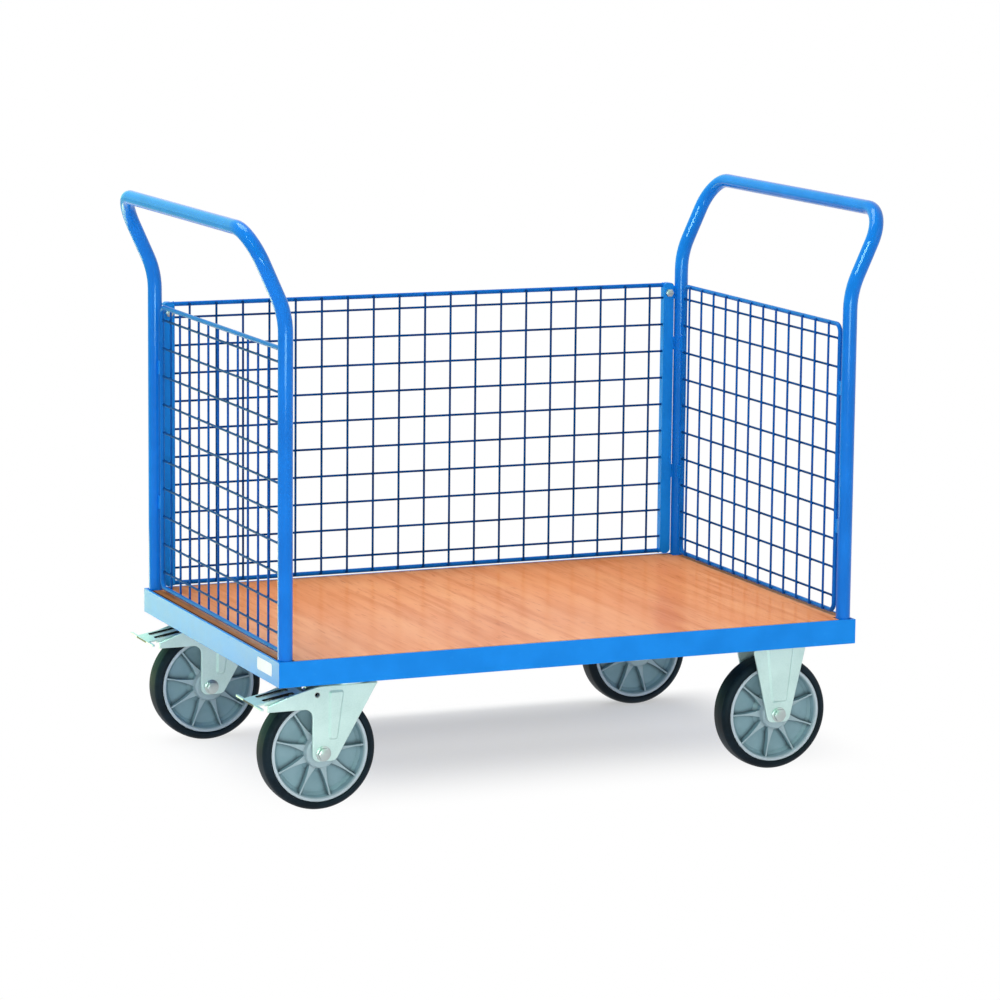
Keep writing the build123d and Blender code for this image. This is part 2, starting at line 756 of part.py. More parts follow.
# Wheel: tyre, ribbed rim and bearing, each turned about the axle and mirrored
def make_wheel(corner, x, y, rib_turn):
    centre = (x, y, wheel_radius)
    axle = Axis(centre, (0, 1, 0))
    middle = side_plane(x, y, wheel_radius)
    section = Plane(origin=centre, x_dir=(0, -1, 0), z_dir=(-1, 0, 0))
    with BuildPart() as tyre:
        with BuildSketch(section):
            with BuildLine():
                bead = Polyline(
                    (0, wheel_radius),
                    (0, tyre_seat_radius),
                    (lip_inner, tyre_seat_radius),
                    (lip_inner, lip_radius),
                    (lip_half_width - lip_edge, lip_radius),
                    (tyre_half_width, lip_radius + bead_slope),
                )
                shoulder_end = (tread_half_width, wheel_radius - tread_crown)
                shoulder = TangentArc(bead @ 1, shoulder_end, tangent=(0, 1))
                Spline(shoulder @ 1, (0, wheel_radius), tangents=((-1, 0.1), (-1, 0)))
            make_face()
        revolve(axis=axle)
        mirror(about=middle)
    save(tyre, f"{corner}_tyre")
    with BuildSketch() as rib:
        with BuildLine():
            flare = ThreePointArc(
                (rib_inner_radius, rib_root_half),
                (rib_waist_radius, rib_waist_half),
                (rib_outer_radius, rib_tip_half),
            )
            tip = Line(flare @ 1, (rib_outer_radius, -rib_tip_half))
            far_flare = ThreePointArc(
                tip @ 1,
                (rib_waist_radius, -rib_waist_half),
                (rib_inner_radius, -rib_root_half),
            )
            Line(far_flare @ 1, flare @ 0)
        make_face()
    with BuildPart() as rim:
        with BuildSketch(section):
            with BuildLine():
                Polyline(
                    (0, hub_bore_radius),
                    (hub_half_length, hub_bore_radius),
                    (hub_half_length, hub_end_radius),
                    (hub_half_length - hub_edge, hub_end_radius + hub_edge),
                    (hub_root_half, hub_root_radius),
                    (web_half_thickness, web_inner_radius),
                    (web_half_thickness, web_outer_radius),
                    (flange_root_half, flange_root_radius),
                    (lip_half_width - lip_inset, lip_bottom_radius),
                    (lip_half_width, lip_bottom_radius + lip_inset),
                    (lip_half_width, lip_radius - lip_edge),
                    (lip_half_width - lip_edge, lip_radius),
                    (lip_inner, lip_radius),
                    (lip_inner, tyre_seat_radius),
                    (0, tyre_seat_radius),
                    close=True,
                )
            make_face()
        revolve(axis=axle)
        with BuildSketch(middle.offset(web_half_thickness - rib_sink)):
            with PolarLocations(0, rib_count, start_angle=rib_turn - 90):
                add(rib.sketch)
        extrude(amount=rib_top - web_half_thickness + rib_sink)
        mirror(about=middle)
    save(rim, f"{corner}_rim")
    with BuildPart() as bearing:
        with BuildSketch(section):
            with BuildLine():
                Polyline(
                    (0, axle_tube_radius + axle_fit),
                    (flank_gap - axle_side_gap, axle_tube_radius + axle_fit),
                    (flank_gap - axle_side_gap, hub_bore_radius - bearing_edge),
                    (hub_half_length, hub_bore_radius),
                    (0, hub_bore_radius),
                    close=True,
                )
            make_face()
        revolve(axis=axle)
        mirror(about=middle)
    save(bearing, f"{corner}_bearing")


# The last number turns the first rib from straight down towards the fixed castors.
make_wheel("front_left", swivel_wheel_x, -castor_y, 14)
make_wheel("back_left", swivel_wheel_x, castor_y, 18)
make_wheel("front_right", fixed_x, -castor_y, 30)
make_wheel("back_right", fixed_x, castor_y, 14)


# Hollow pins that carry a pedal, one in each flank
def make_pedal_pins(label, y):
    with BuildPart() as pins:
        for side in (-1, 1):
            start = side * (pedal_half_width - cheek_thickness - pedal_pin_play)
            length = side * flank_outer - start
            with BuildSketch(side_plane(swivel_x, y).offset(start)):
                with Locations((pedal_pivot_x, pedal_pivot_z)):
                    Circle(pedal_pin_radius)
                    Circle(pedal_pin_bore, mode=Mode.SUBTRACT)
            extrude(amount=length)
    save(pins, label)


# Brake pedal: a tread plate with two cheeks beside the tyre, a toe bar and a brake pad
def make_pedal(label, y):
    flank = side_plane(swivel_x, y)
    with BuildPart() as pedal:
        with BuildSketch(flank):
            with BuildLine():
                Polyline(
                    tread_root,
                    tread_tip,
                    (tread_tip[0], tread_tip[1] - tread_thickness),
                    (tread_root[0], tread_root[1] - tread_thickness),
                    close=True,
                )
            make_face()
        extrude(amount=pedal_half_width, both=True)
        cheek = flank.offset(pedal_half_width - cheek_thickness)
        far_cheek = flank.offset(-pedal_half_width)
        with BuildSketch(cheek, far_cheek):
            with BuildLine():
                Polyline(
                    (pedal_pivot_x, pedal_pivot_z + cheek_eye_radius),
                    tread_root,
                    cheek_tip,
                    (cheek_tip[0], cheek_tip_bottom),
                    cheek_bend,
                    (pedal_pivot_x, pedal_pivot_z - cheek_eye_radius),
                    close=True,
                )
            make_face()
            with Locations((pedal_pivot_x, pedal_pivot_z)):
                Circle(cheek_eye_radius)
                Circle(pedal_pin_radius + pedal_fit, mode=Mode.SUBTRACT)
        extrude(amount=cheek_thickness)
        # The toe bar is wider than the fork, with rounded ends.
        with BuildSketch(Plane(origin=(swivel_x, y, tread_tip[1] - toe_thickness))):
            with Locations((tread_tip[0] - toe_depth / 2 + toe_lap, 0)):
                RectangleRounded(toe_depth, 2 * toe_half_width, toe_corner_radius)
        extrude(amount=toe_thickness)
        # Two wide slots leave a bar at each side and one over the pad.
        with BuildSketch(Plane(origin=(swivel_x, y, pad_bottom))):
            with Locations((slot_middle_x, slot_spacing / 2), (slot_middle_x, -slot_spacing / 2)):
                RectangleRounded(slot_length, slot_width, slot_corner_radius)
        extrude(until=Until.LAST, mode=Mode.SUBTRACT)
        # The pad is hollowed to the tyre's curve where it stands with the pedal pressed.
        with BuildSketch(flank):
            with BuildLine():
                Polyline(
                    (pad_rear_x, pad_rear_top),
                    (pad_front_x, pad_front_top),
                    (pad_front_x, pad_bottom),
                    (pad_rear_x, pad_bottom),
                    close=True,
                )
            make_face()
        extrude(amount=pad_half_width, both=True)
        pivot = Vector(pedal_pivot_x, pedal_pivot_z)
        wheel_centre = Vector(-swivel_trail, wheel_radius)
        pressed_centre = pivot + (wheel_centre - pivot).rotate(Axis.Z, -pedal_travel)
        with BuildSketch(flank):
            with Locations(pressed_centre):
                Circle(wheel_radius + pad_gap)
        extrude(amount=pad_half_width, both=True, mode=Mode.SUBTRACT)
    save(pedal, label)


for corner, y in (("front_left", -castor_y), ("back_left", castor_y)):
    make_pedal_pins(f"{corner}_pedal_pins", y)
    make_pedal(f"{corner}_pedal", y)

# Castor bolts with their heads inside the bearers, and nuts under the plates
castor_hole_places = [
    (castor_x + hole_x, y + hole_y)
    for castor_x in (swivel_x, fixed_x)
    for y in (-castor_y, castor_y)
    for hole_x in (-plate_hole_length / 2, plate_hole_length / 2)
    for hole_y in (-plate_hole_width / 2, plate_hole_width / 2)
]
with BuildPart() as castor_bolts:
    with BuildSketch(Plane.XY.offset(bearer_web_top)):
        with Locations(*castor_hole_places):
            RegularPolygon(m10_half_flats, 6, major_radius=False)
    extrude(amount=m10_head)
    with BuildSketch(Plane.XY.offset(bearer_web_top)):
        with Locations(*castor_hole_places):
            Circle(m10_radius)
    extrude(amount=-(bearer_web_thickness + plate_thickness + m10_nut + bolt_end))
save(castor_bolts, "castor_bolts")

with BuildPart() as castor_nuts:
    with BuildSketch(Plane.XY.offset(plate_bottom)):
        with Locations(*castor_hole_places):
            RegularPolygon(m10_half_flats, 6, major_radius=False)
            Circle(m10_radius, mode=Mode.SUBTRACT)
    extrude(amount=-m10_nut)
save(castor_nuts, "castor_nuts")
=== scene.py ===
import json
import math
import bmesh
import bpy
from mathutils import Matrix, Vector


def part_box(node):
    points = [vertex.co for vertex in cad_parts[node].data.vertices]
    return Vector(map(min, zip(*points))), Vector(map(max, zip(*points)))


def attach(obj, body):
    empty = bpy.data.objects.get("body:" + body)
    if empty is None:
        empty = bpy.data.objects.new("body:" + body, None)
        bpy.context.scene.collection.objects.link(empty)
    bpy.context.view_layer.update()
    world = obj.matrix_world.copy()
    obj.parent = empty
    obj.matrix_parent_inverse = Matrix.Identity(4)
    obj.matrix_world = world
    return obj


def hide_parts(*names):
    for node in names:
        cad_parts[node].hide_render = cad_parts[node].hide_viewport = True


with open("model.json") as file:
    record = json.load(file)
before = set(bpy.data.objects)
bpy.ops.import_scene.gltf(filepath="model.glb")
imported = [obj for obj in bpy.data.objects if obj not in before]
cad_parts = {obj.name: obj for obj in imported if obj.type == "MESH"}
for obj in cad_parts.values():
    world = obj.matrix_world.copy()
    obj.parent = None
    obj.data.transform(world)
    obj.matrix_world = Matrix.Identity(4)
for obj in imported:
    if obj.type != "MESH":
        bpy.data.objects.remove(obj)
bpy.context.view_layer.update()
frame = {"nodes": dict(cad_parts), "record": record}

nodes = frame["nodes"]
slotOf = {part["node"]: part["material_slot"] for part in frame["record"]["subparts"]}
mm = 0.001
white = (1, 1, 1)
swivelCorners = ("front_left", "back_left")
fixedCorners = ("front_right", "back_right")
print("frame loaded,", len(nodes), "nodes")


def middle(name):
    low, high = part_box(name)
    return (low + high) / 2


# a socket that takes part in sums
class Value:
    def __init__(self, finish, socket):
        self.finish = finish
        self.socket = socket

    def maths(self, operation, first, second=0):
        return self.finish.node("ShaderNodeMath", {"operation": operation}, {0: first, 1: second})

    def __add__(self, other):
        return self.maths("ADD", self, other)

    def __radd__(self, other):
        return self.maths("ADD", other, self)

    def __sub__(self, other):
        return self.maths("SUBTRACT", self, other)

    def __rsub__(self, other):
        return self.maths("SUBTRACT", other, self)

    def __mul__(self, other):
        return self.maths("MULTIPLY", self, other)

    def __abs__(self):
        return self.maths("ABSOLUTE", self)


# one material or world under construction
class Finish:
    def __init__(self, owner, outputKind="ShaderNodeOutputMaterial"):
        owner.use_nodes = True
        self.owner = owner
        self.nodes = owner.node_tree.nodes
        self.links = owner.node_tree.links
        self.nodes.clear()
        self.output = self.nodes.new(outputKind)

    def node(self, kind, settings=None, sockets=None, out=0):
        made = self.nodes.new(kind)
        for key, value in (settings or {}).items():
            setattr(made, key, value)
        for key, value in (sockets or {}).items():
            self.feed(made.inputs[key], value)
        return Value(self, made.outputs[out])

    def feed(self, socket, value):
        if isinstance(value, Value):
            self.links.new(value.socket, socket)
        elif socket.type == "RGBA":
            socket.default_value = (*value, 1)
        else:
            socket.default_value = value

    def principled(self, **sockets):
        named = {key.replace("_", " "): value for key, value in sockets.items()}
        return self.node("ShaderNodeBsdfPrincipled", None, named)

    def show(self, shader):
        self.feed(self.output.inputs["Surface"], shader)
        return self.owner

    # the place on the piece, or the way a ray leaves for the sky
    def place(self):
        return self.node("ShaderNodeTexCoord", out="Object")

    def moved(self, move=(0, 0, 0), stretch=(1, 1, 1)):
        return self.node("ShaderNodeMapping", None,
                         {"Vector": self.place(), "Location": move, "Scale": stretch})

    def noise(self, scale, detail=2, roughness=0.5, stretch=(1, 1, 1)):
        return self.node("ShaderNodeTexNoise", None, {"Vector": self.moved(stretch=stretch), "Scale": scale,
                                                      "Detail": detail, "Roughness": roughness})

    def length(self, vector):
        return self.node("ShaderNodeVectorMath", {"operation": "LENGTH"}, {0: vector}, out="Value")

    def along(self, axis, vector=None):
        return self.node("ShaderNodeSeparateXYZ", None, {0: vector or self.place()}, out=axis)

    # runs smoothly from one value to another between two limits
    def span(self, value, low, high, newLow=0, newHigh=1):
        return self.node("ShaderNodeMapRange", {"interpolation_type": "SMOOTHSTEP"},
                         {"Value": value, "From Min": low, "From Max": high, "To Min": newLow,
                          "To Max": newHigh})

    # 1 between two limits
    def band(self, value, low, high, soft):
        return self.span(value, low - soft, low + soft) * self.span(value, high - soft, high + soft, 1, 0)

    def mix(self, factor, first, second):
        return self.node("ShaderNodeMix", {"data_type": "RGBA"}, {0: factor, 6: first, 7: second}, out=2)

    def blendShaders(self, factor, first, second):
        return self.node("ShaderNodeMixShader", None, {0: factor, 1: first, 2: second})

    def bump(self, height, distance, strength):
        return self.node("ShaderNodeBump", None,
                         {"Height": height, "Distance": distance, "Strength": strength})

    # 1 on open faces, less in the corners of the piece itself
    def openness(self, reach):
        return self.node("ShaderNodeAmbientOcclusion", {"only_local": True, "samples": 8},
                         {"Distance": reach}, out="AO")

    # 1 for rays of the named kinds
    def rays(self, *kinds):
        return sum(self.node("ShaderNodeLightPath", out=kind) for kind in kinds)


# powder coat: a soft orange-peel skin with faint rubbed patches
def makePaint(name, settings):
    finish = Finish(bpy.data.materials.new(name))
    peel = finish.noise(settings["peelScale"])
    cloud = finish.noise(settings["cloudScale"], settings["cloudDetail"])
    rubbed = finish.noise(settings["rubScale"], settings["rubDetail"], settings["rubGrit"])
    rubbed = finish.span(rubbed, *settings["rubSpan"])
    tone = finish.mix(finish.span(cloud, *settings["cloudSpan"]), settings["deep"], settings["light"])
    tone = finish.mix(rubbed * settings["rubAmount"], tone, settings["rubbed"])
    return finish.show(finish.principled(
        Base_Color=tone,
        Roughness=settings["roughness"] + cloud * settings["cloudRough"] + rubbed * settings["rubRough"],
        Normal=finish.bump(peel, settings["peelDepth"], settings["peelStrength"]),
        IOR=settings["ior"], Specular_Tint=settings["glint"]))


# what the blue coats have in common
powderCoat = {
    "peelScale": 900, "peelDepth": 0.1 * mm, "peelStrength": 0.5, "cloudDetail": 3, "cloudSpan": (0.3, 0.7),
    "cloudRough": 0.1, "rubDetail": 4, "rubGrit": 0.65, "rubSpan": (0.62, 0.74), "rubAmount": 0.3,
    "rubRough": 0.12, "glint": (0.3, 0.8, 1)}
bluePaint = makePaint("bluePaint", {
    **powderCoat, "deep": (0.006, 0.225, 0.76), "light": (0.009, 0.262, 0.85), "rubbed": (0.03, 0.33, 0.87),
    "peelDepth": 0.2 * mm, "cloudScale": 14, "rubScale": 55, "roughness": 0.28, "ior": 1.38})
# painted shade: the handle bows, wall frames, uprights and cross wires take darker copies of the one blue
# coat
tubeShadedPaint = makePaint("tubeShadedPaint", {
    **powderCoat, "deep": (0.002, 0.16, 0.66), "light": (0.004, 0.19, 0.75), "rubbed": (0.02, 0.28, 0.82),
    "peelScale": 500, "peelDepth": 0.02 * mm, "cloudScale": 14, "rubScale": 55, "roughness": 0.05,
    "ior": 1.38, "glint": (0.5, 1, 0.9)})
rodShadedPaint = makePaint("rodShadedPaint", {
    **powderCoat, "deep": (0.002, 0.11, 0.48), "light": (0.004, 0.14, 0.57), "rubbed": (0.015, 0.2, 0.64),
    "cloudScale": 18, "rubScale": 70, "roughness": 0.24, "ior": 1.3, "glint": (0.25, 1, 0.85)})
uprightShadedPaint = makePaint("uprightShadedPaint", {
    **powderCoat, "deep": (0.002, 0.07, 0.34), "light": (0.003, 0.095, 0.43), "rubbed": (0.008, 0.13, 0.5),
    "cloudScale": 22, "rubScale": 80, "roughness": 0.3, "ior": 1.2})
wireShadedPaint = makePaint("wireShadedPaint", {
    **powderCoat, "deep": (0.001, 0.036, 0.17), "light": (0.002, 0.056, 0.25), "rubbed": (0.006, 0.09, 0.32),
    "cloudScale": 22, "rubScale": 80, "roughness": 0.3, "ior": 1.15})


# beech decor on plywood: pale figure and short flecks across the platform, layered edges, brown film below
def makeBeech(settings):
    finish = Finish(bpy.data.materials.new("beechDecor"))
    low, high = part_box("deck_board")
    figure = finish.noise(**settings["figureNoise"])
    grain = finish.noise(**settings["grainNoise"])
    fleck = finish.span(finish.noise(**settings["fleckNoise"]), *settings["fleckSpan"])
    stave = finish.noise(**settings["staveNoise"])
    tone = finish.mix(finish.span(figure, *settings["figureSpan"]), settings["pale"], settings["warm"])
    grainShare = finish.span(grain, *settings["grainSpan"]) * settings["grainAmount"]
    tone = finish.mix(grainShare, tone, settings["grain"])
    tone = finish.mix(fleck * settings["fleckAmount"], tone, settings["fleck"])
    staveShare = finish.span(stave, *settings["staveSpan"]) * settings["staveAmount"]
    tone = finish.mix(staveShare, tone, settings["stave"])
    # painted shade: darker strips outside the end walls, and a near-black line in the joint with the rails
    outward = abs(finish.along("X"))
    wallShadeShare = finish.span(outward, *settings["wallShadeFrom"]) * settings["wallShadeAmount"]
    tone = finish.mix(wallShadeShare, tone, settings["wallShade"])
    jointFrom, jointTo = settings["joint"]
    jointShadeShare = finish.span(outward, high.x - jointFrom, high.x - jointTo) * settings["paintedShadeAmount"]
    tone = finish.mix(jointShadeShare, tone, settings["paintedShade"])
    height = finish.along("Z")
    layers = finish.node("ShaderNodeTexWave", {"bands_direction": "Z"},
                         {"Vector": finish.place(), "Scale": settings["layerScale"],
                          "Distortion": settings["layerWaver"]}, out=1)
    edge = finish.mix(layers, settings["layerPale"], settings["layerDark"])
    skinFrom, skinTo = settings["skin"]
    tone = finish.mix(finish.span(height, high.z - skinFrom, high.z - skinTo), tone, edge)
    tone = finish.mix(finish.span(height, low.z + skinTo, low.z + skinFrom), tone, settings["film"])
    # the lacquer is worn duller towards the back and the right end
    lacquer = finish.span(finish.along("Y"), *settings["dullBack"], 1, settings["backGloss"])
    lacquer = lacquer * finish.span(finish.along("X"), *settings["dullRight"], 1, settings["rightGloss"])
    relief = grain - fleck * settings["fleckRise"]
    return finish.show(finish.principled(
        Base_Color=tone, Roughness=settings["roughness"] + grain * settings["grainRough"],
        Normal=finish.bump(relief, settings["poreDepth"], settings["poreStrength"]), IOR=settings["ior"],
        Coat_Weight=lacquer, Coat_IOR=settings["coatIor"], Coat_Roughness=settings["coatRoughness"]))


beechDecor = makeBeech({
    "figureNoise": {"scale": 7, "detail": 4, "roughness": 0.6, "stretch": (1.6, 0.25, 1.6)},
    "grainNoise": {"scale": 36, "detail": 3, "roughness": 0.6, "stretch": (1.3, 0.09, 1.3)},
    "fleckNoise": {"scale": 90, "detail": 2, "roughness": 0.6, "stretch": (2, 0.22, 2)},
    "staveNoise": {"scale": 1, "detail": 1, "roughness": 0.5, "stretch": (9, 0.6, 1)},
    "figureSpan": (0.3, 0.7), "grainSpan": (0.4, 0.72), "fleckSpan": (0.55, 0.75), "staveSpan": (0.35, 0.65),
    "grainAmount": 0.75, "fleckAmount": 0.6, "staveAmount": 0.4, "pale": (0.95, 0.42, 0.185),
    "warm": (0.85, 0.305, 0.115), "grain": (0.68, 0.2, 0.055), "fleck": (0.56, 0.14, 0.04),
    "stave": (0.9, 0.315, 0.1), "wallShadeFrom": (0.506, 0.512), "wallShadeAmount": 0.75, "wallShade": (0.27, 0.11, 0.018),
    "joint": (2.4 * mm, 1.2 * mm), "paintedShadeAmount": 0.9, "paintedShade": (0.012, 0.01, 0.008), "layerScale": 90,
    "layerWaver": 0.4, "layerPale": (0.5, 0.32, 0.13), "layerDark": (0.26, 0.14, 0.05),
    "skin": (0.4 * mm, 0.9 * mm), "film": (0.09, 0.06, 0.045), "dullBack": (-0.25, 0.27), "backGloss": 0.15,
    "dullRight": (0, 0.5), "rightGloss": 0.3, "roughness": 0.14, "grainRough": 0.1, "fleckRise": 0.4,
    "poreDepth": 0.2 * mm, "poreStrength": 0.12, "ior": 1.02, "coatIor": 1.11, "coatRoughness": 0.22})


# zinc plating: pale metal with a faint spangle and drawing lines, with painted shade in its corners
def makeZinc(name, settings, treadMiddle=None):
    finish = Finish(bpy.data.materials.new(name))
    cell = finish.node("ShaderNodeTexVoronoi", None,
                       {"Vector": finish.place(), "Scale": settings["spangle"]})
    drawn = finish.noise(**settings["drawnNoise"])
    haze = finish.noise(**settings["hazeNoise"])
    tone = finish.mix(finish.span(haze, *settings["hazeSpan"]), settings["deep"], settings["light"])
    sparkShare = finish.span(cell, *settings["sparkSpan"]) * settings["sparkAmount"]
    tone = finish.mix(sparkShare, tone, settings["spark"])
    # painted shade: darker in the piece's own corners, strongest on the bright steel bolts and nuts
    corner = finish.span(finish.openness(settings["corner"]), *settings["cornerSpan"])
    tone = finish.mix(corner * settings["paintedShadeAmount"], tone, settings["paintedShade"])
    if treadMiddle is not None:
        # painted shade: the walls of the tread's openings and its underside are painted black
        facing = finish.along("Z", finish.node("ShaderNodeNewGeometry", out="True Normal"))
        across = abs(finish.along("Y", finish.moved((0, -treadMiddle, 0))))
        slotShade = finish.span(facing, *settings["turnedAway"])
        slotShade = slotShade * finish.span(across, settings["barFrom"] + mm, settings["barFrom"])
        tone = finish.mix(slotShade, tone, settings["black"])
    return finish.show(finish.principled(
        Base_Color=tone,
        Roughness=settings["roughness"] + haze * settings["hazeRough"] + drawn * settings["drawnRough"],
        Normal=finish.bump(drawn, settings["drawnDepth"], settings["drawnStrength"]),
        Metallic=settings["metallic"]))


zincSettings = {
    "deep": (0.51, 0.7, 0.68), "light": (0.58, 0.77, 0.75), "spark": (0.7, 0.85, 0.83),
    "paintedShade": (0.14, 0.18, 0.18), "paintedShadeAmount": 0.3, "spangle": 420, "sparkSpan": (0.2, 0.7),
    "sparkAmount": 0.22, "drawnNoise": {"scale": 180, "detail": 2, "roughness": 0.6, "stretch": (6, 6, 0.4)},
    "drawnRough": 0.06, "drawnDepth": 0.1 * mm, "drawnStrength": 0.3,
    "hazeNoise": {"scale": 26, "detail": 3}, "hazeSpan": (0.3, 0.7), "hazeRough": 0.14, "roughness": 0.3,
    "metallic": 0.5, "corner": 6 * mm, "cornerSpan": (0.6, 0.25), "turnedAway": (0.7, 0.5),
    "barFrom": 25.5 * mm, "black": (0.012, 0.014, 0.016)}
zincPlate = makeZinc("zincPlate", zincSettings)
brightSteel = makeZinc("brightSteel", {
    **zincSettings, "deep": (0.36, 0.42, 0.42), "light": (0.46, 0.52, 0.52), "spark": (0.58, 0.64, 0.64),
    "paintedShade": (0.04, 0.045, 0.05), "paintedShadeAmount": 0.85, "spangle": 900,
    "drawnNoise": {"scale": 180, "detail": 2, "roughness": 0.6, "stretch": (3, 3, 3)}, "roughness": 0.24,
    "metallic": 0.8, "corner": 3 * mm})
pedalFinishes = {}
for corner in swivelCorners:
    pedal = corner + "_pedal"
    pedalFinishes[pedal] = makeZinc(corner + "PedalZinc", zincSettings, middle(pedal).y)


# moulded rubber: dull bloom, fine scuffs and the rings that the mould leaves on the sides
def makeRubber(corner, settings):
    finish = Finish(bpy.data.materials.new(corner + "Rubber"))
    centre = middle(corner + "_tyre")
    fromAxle = finish.length(finish.moved((-centre.x, 0, -centre.z), (1, 0, 1)))
    bloom = finish.noise(**settings["bloomNoise"])
    skin = finish.noise(settings["skinScale"])
    scuff = finish.span(finish.noise(**settings["scuffNoise"]), *settings["scuffSpan"])
    bead = finish.band(fromAxle, *settings["bead"])
    ring = finish.band(fromAxle, *settings["ring"])
    tone = finish.mix(finish.span(bloom, *settings["bloomSpan"]), settings["black"], settings["bloom"])
    tone = finish.mix(scuff * settings["scuffAmount"], tone, settings["scuff"])
    tone = finish.mix(bead * settings["beadAmount"], tone, settings["black"])
    relief = skin * settings["skinRise"] + ring
    return finish.show(finish.principled(
        Base_Color=tone,
        Roughness=settings["roughness"] + bloom * settings["bloomRough"] + scuff * settings["scuffRough"],
        Normal=finish.bump(relief, settings["ringDepth"], settings["ringStrength"]), IOR=settings["ior"]))


# injection-moulded grey plastic, with painted shade in its corners and painted highlights on the rib tops
# and on the lip
def makeMoulding(corner, settings):
    finish = Finish(bpy.data.materials.new(corner + "Moulding"))
    centre = middle(corner + "_rim")
    fromAxle = finish.length(finish.moved((-centre.x, 0, -centre.z), (1, 0, 1)))
    fromMiddle = abs(finish.along("Y", finish.moved((0, -centre.y, 0))))
    flow = finish.noise(**settings["flowNoise"])
    skin = finish.noise(settings["skinScale"])
    lip = finish.span(fromAxle, *settings["lipFrom"])
    ribTop = finish.span(fromMiddle, *settings["ribTop"])
    # painted shade in the rim's own corners
    shade = finish.span(finish.openness(settings["corner"]), *settings["shadeSpan"])
    tone = finish.mix(finish.span(flow, *settings["flowSpan"]), settings["deep"], settings["light"])
    tone = finish.mix(shade * settings["shadeAmount"], tone, settings["shade"])
    # painted highlights on the rib tops and on the lip, broken up by the flow noise
    tone = finish.mix(ribTop * settings["ribHighlightAmount"], tone, settings["ribHighlight"])
    tone = finish.mix(lip * finish.span(flow, *settings["lipHighlightBreakup"]), tone, settings["lip"])
    return finish.show(finish.principled(
        Base_Color=tone, Roughness=settings["roughness"] + flow * settings["flowRough"],
        Normal=finish.bump(skin, settings["skinDepth"], settings["skinStrength"]), IOR=settings["ior"]))


rubberSettings = {
    "black": (0.003, 0.008, 0.013), "bloom": (0.008, 0.019, 0.029), "scuff": (0.02, 0.034, 0.045),
    "bloomNoise": {"scale": 20, "detail": 4, "roughness": 0.6}, "bloomSpan": (0.35, 0.7), "bloomRough": 0.18,
    "scuffNoise": {"scale": 210, "detail": 3, "roughness": 0.7}, "scuffSpan": (0.6, 0.75),
    "scuffAmount": 0.3, "scuffRough": 0.1, "bead": (84 * mm, 87 * mm, 0.5 * mm), "beadAmount": 0.75,
    "ring": (90 * mm, 91.2 * mm, 0.4 * mm), "ringDepth": 0.4 * mm, "ringStrength": 0.5, "skinScale": 1400,
    "skinRise": 0.2, "roughness": 0.42, "ior": 1.2}
mouldingSettings = {
    "deep": (0.22, 0.37, 0.42), "light": (0.26, 0.42, 0.475), "shade": (0.05, 0.08, 0.1),
    "ribHighlight": (0.42, 0.54, 0.58), "lip": (0.52, 0.62, 0.68),
    "flowNoise": {"scale": 34, "detail": 3, "roughness": 0.55}, "flowSpan": (0.3, 0.7), "flowRough": 0.12,
    "skinScale": 2200, "skinDepth": 0.1 * mm, "skinStrength": 0.3, "lipFrom": (80.1 * mm, 80.9 * mm),
    "lipHighlightBreakup": (0.2, 0.6, 0.7, 1), "ribTop": (17 * mm, 17.8 * mm), "ribHighlightAmount": 0.7, "corner": 9 * mm,
    "shadeSpan": (0.95, 0.45), "shadeAmount": 0.85, "roughness": 0.4, "ior": 1.46}
finishes = {"blue_paint": bluePaint, "beech_board": beechDecor, "zinc_plate": zincPlate,
            "bright_steel": brightSteel}
wheelFinishes = {}
for corner in swivelCorners + fixedCorners:
    wheelFinishes[corner + "_tyre"] = makeRubber(corner, rubberSettings)
    wheelFinishes[corner + "_rim"] = makeMoulding(corner, mouldingSettings)


def finishFor(name):
    if name in ("left_wall_uprights", "right_wall_uprights"):
        return uprightShadedPaint
    if name.endswith(("_wall_uprights", "_wall_cross_wires")):
        return wireShadedPaint
    if name.endswith("_wall_frame"):
        return rodShadedPaint
    if name.endswith("_handle_bow"):
        return tubeShadedPaint
    return pedalFinishes.get(name) or wheelFinishes.get(name) or finishes[slotOf[name]]


for name, node in nodes.items():
    for holder in node.material_slots:
        holder.material = finishFor(name)
print("finishes on", len(nodes), "nodes")


# a finished mesh becomes a piece of its body
def addPiece(name, mesh, finish, body, stands=None, merge=0.01 * mm, sharpFrom=math.radians(35)):
    bmesh.ops.remove_doubles(mesh, verts=mesh.verts, dist=merge)
    bmesh.ops.recalc_face_normals(mesh, faces=mesh.faces)
    data = bpy.data.meshes.new(name)
    mesh.to_mesh(data)
    mesh.free()
    data.shade_smooth()
    data.set_sharp_from_angle(angle=sharpFrom)
    data.materials.append(finish)
    piece = bpy.data.objects.new(name, data)
    bpy.context.scene.collection.objects.link(piece)
    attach(piece, body)
    if stands:
        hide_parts(stands)


# a profile of (radius, height) points turned round local Z
def turnProfile(mesh, profile, steps):
    points = [mesh.verts.new((radius, 0, height)) for radius, height in profile]
    edges = [mesh.edges.new(pair) for pair in zip(points, points[1:])]
    bmesh.ops.spin(mesh, geom=points + edges, axis=(0, 0, 1), cent=(0, 0, 0), angle=math.tau, steps=steps,
                   use_merge=True)


hexForm = {"toCorner": math.cos(math.pi / 6), "cuts": 24, "slope": math.radians(30), "cutFrom": 0.95,
           "cutMerge": 0.001 * mm, "boreSides": 24}


